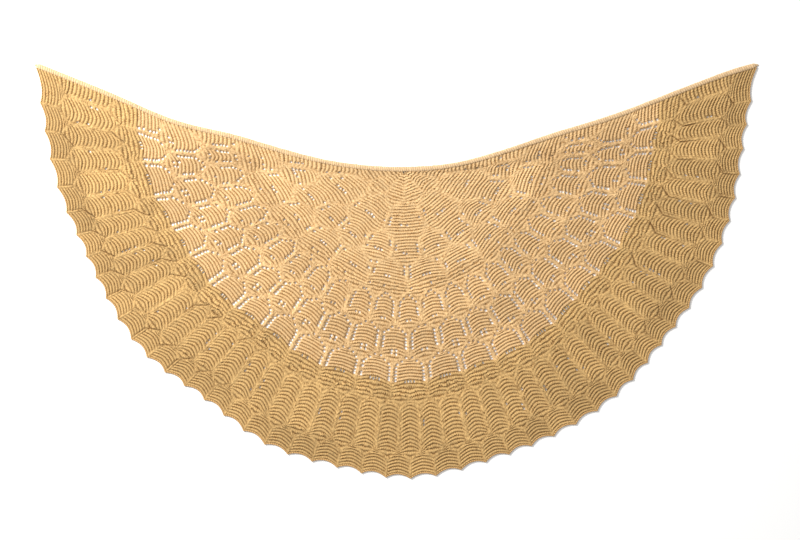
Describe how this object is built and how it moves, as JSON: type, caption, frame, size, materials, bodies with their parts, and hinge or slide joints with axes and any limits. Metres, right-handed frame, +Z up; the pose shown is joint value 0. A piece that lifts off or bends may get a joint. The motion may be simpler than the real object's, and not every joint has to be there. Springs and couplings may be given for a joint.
{
  "type": "shawl",
  "caption": "Crescent shawl in leaf lace with forking ribs, open eyelets, a rolled neck edge and a scalloped lower edge, laid flat.",
  "frame": {"origin": "middle of the shawl's outline, on the surface it lies on", "axes": "+X along the wingspan to the right wing, +Y towards the neck edge, +Z up out of the cloth"},
  "size_m": [1.5038, 0.8634, 0.0052],
  "materials": {
    "centre_wool": "matte hand-knitted wool, golden tan",
    "middle_wool": "matte hand-knitted wool, golden tan",
    "border_wool": "matte hand-knitted wool, golden tan, a little deeper",
    "neck_wool": "matte hand-knitted wool, pale golden tan",
    "edge_wool": "matte hand-knitted wool, golden tan"
  },
  "bodies": {
    "root": {"centre_lace": "centre_wool", "middle_lace": "middle_wool", "leaf_border": "border_wool", "neck_edging": "neck_wool", "bound_off_edge": "edge_wool"}
  },
  "joints": []
}
